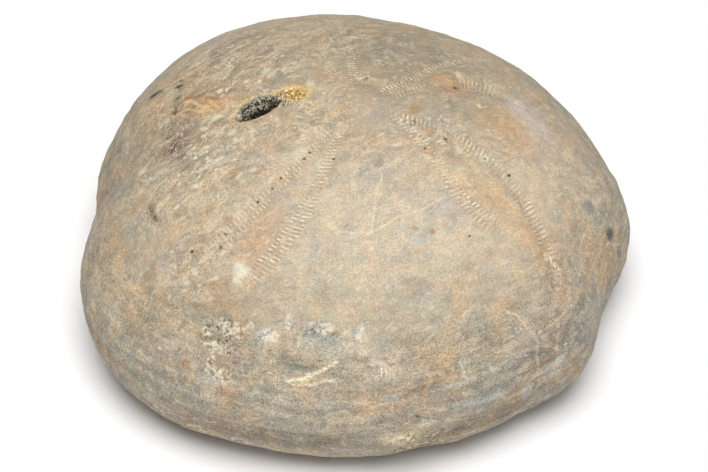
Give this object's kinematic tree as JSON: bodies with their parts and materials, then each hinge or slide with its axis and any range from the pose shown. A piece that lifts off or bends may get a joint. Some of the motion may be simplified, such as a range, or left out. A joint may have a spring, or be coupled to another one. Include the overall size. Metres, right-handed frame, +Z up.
{
  "type": "fossil sea urchin",
  "caption": "Domed fossil sea urchin in solid stone, with petal-shaped pore rows, a notched front margin, a broken hole near the top and a flat base to rest on.",
  "frame": {"origin": "middle of the outline's box, at the level of the resting ring", "axes": "+Z up through the dome, -X towards the notched front, +X towards the bulging rear"},
  "size_m": [0.0902, 0.089, 0.041],
  "materials": {
    "fossil_stone": "matte tan limestone with cream, orange and blue-grey mottling"
  },
  "bodies": {
    "root": {"sea_urchin": "fossil_stone"}
  },
  "joints": []
}
